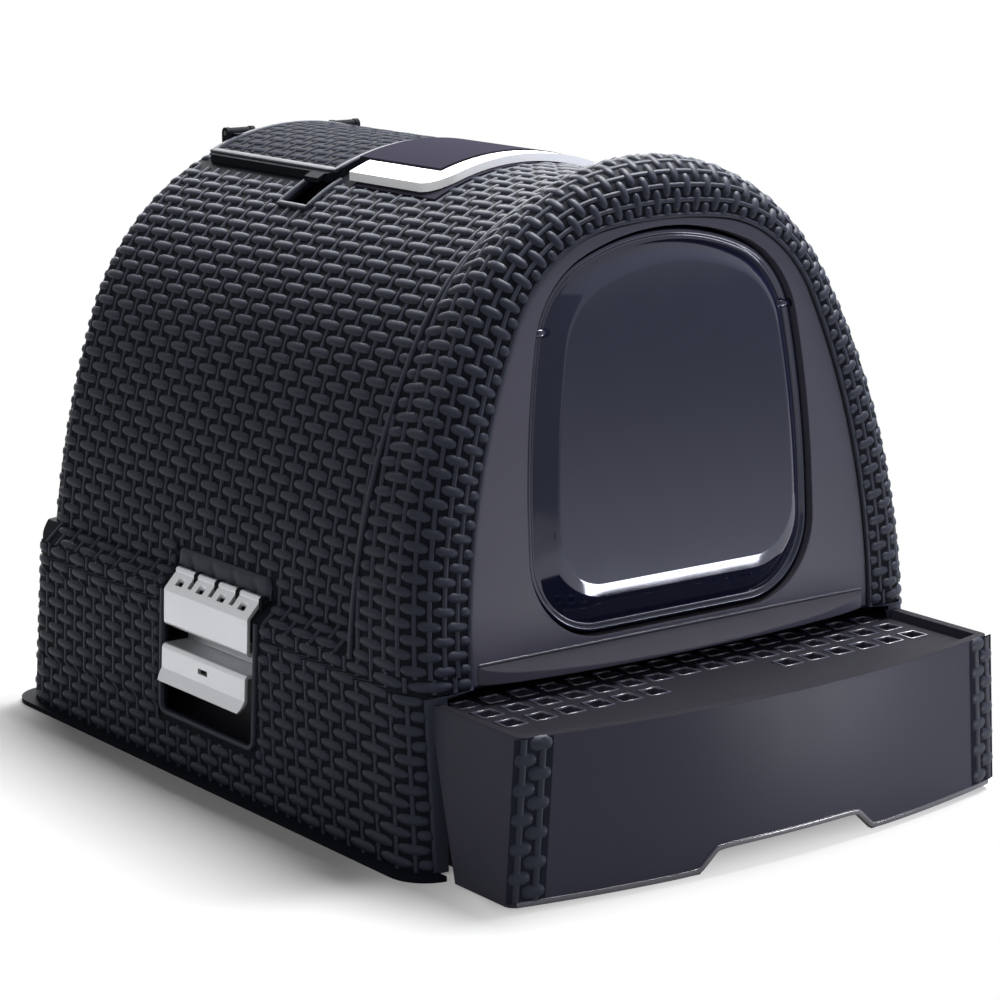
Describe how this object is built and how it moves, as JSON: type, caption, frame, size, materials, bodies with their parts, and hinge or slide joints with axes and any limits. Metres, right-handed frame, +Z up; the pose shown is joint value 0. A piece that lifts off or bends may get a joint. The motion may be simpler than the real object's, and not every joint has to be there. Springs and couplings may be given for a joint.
{
  "type": "hooded litter box",
  "caption": "Hooded cat litter box with a woven-look arched hood, swing door, pull-out tray with entry grid, side latches, roof hatch with filter and folding carry handle.",
  "frame": {"origin": "on the floor under the middle of the overall box", "axes": "+X to the right seen from the front, +Y to the back, +Z up; the door and the drawer face -Y"},
  "size_m": [0.385, 0.5259, 0.368],
  "materials": {
    "rattan": "moulded woven relief, dull anthracite",
    "satin_dark": "fine satin, dark grey",
    "smoked": "polished smoke-grey",
    "black_pan": "plain black",
    "latch_grey": "light silver grey, satin",
    "pale_handle": "pale silver white, satin",
    "pivot_pin": "plain dark",
    "charcoal_felt": "charcoal felt"
  },
  "bodies": {
    "hood": {"hood_shell": "rattan", "front_fascia": "satin_dark", "handle_plate": "satin_dark", "filter_basket": "black_pan", "filter_pad": "charcoal_felt", "latch_pin_left": "pivot_pin", "latch_pin_right": "pivot_pin", "handle_pin_left": "pivot_pin", "handle_pin_right": "pivot_pin", "hatch_pin_left": "pivot_pin", "hatch_pin_right": "pivot_pin"},
    "door": {"door_flap": "smoked", "door_pin_left": "pivot_pin", "door_pin_right": "pivot_pin"},
    "tray": {"litter_tray": "black_pan", "drawer_front": "satin_dark", "entry_grid": "satin_dark"},
    "latch_left": {"latch_left": "latch_grey"},
    "latch_right": {"latch_right": "latch_grey"},
    "handle": {"carry_handle": "pale_handle"},
    "hatch": {"hatch_lid": "rattan"}
  },
  "joints": [
    {"name": "door_swing", "type": "hinge", "parent": "hood", "child": "door", "pos_m": [0, -0.15054, 0.28093], "axis": [1, 0, 0], "range_deg": [-80, 80]},
    {"name": "tray_pull", "type": "slide", "parent": "hood", "child": "tray", "axis": [0, -1, 0], "range_m": [0, 0.4]},
    {"name": "latch_left_open", "type": "hinge", "parent": "hood", "child": "latch_left", "pos_m": [-0.17358, 0.0365, 0.11753], "axis": [0, 1, 0], "range_deg": [0, 100]},
    {"name": "latch_right_open", "type": "hinge", "parent": "hood", "child": "latch_right", "pos_m": [0.17358, 0.0365, 0.11753], "axis": [0, -1, 0], "range_deg": [0, 100]},
    {"name": "handle_lift", "type": "hinge", "parent": "hood", "child": "handle", "pos_m": [0, 0.0575, 0.34901], "axis": [-1, 0, 0], "range_deg": [0, 90]},
    {"name": "hatch_open", "type": "hinge", "parent": "hood", "child": "hatch", "pos_m": [0, 0.219, 0.3545], "axis": [-1, 0, 0], "range_deg": [0, 100]}
  ]
}
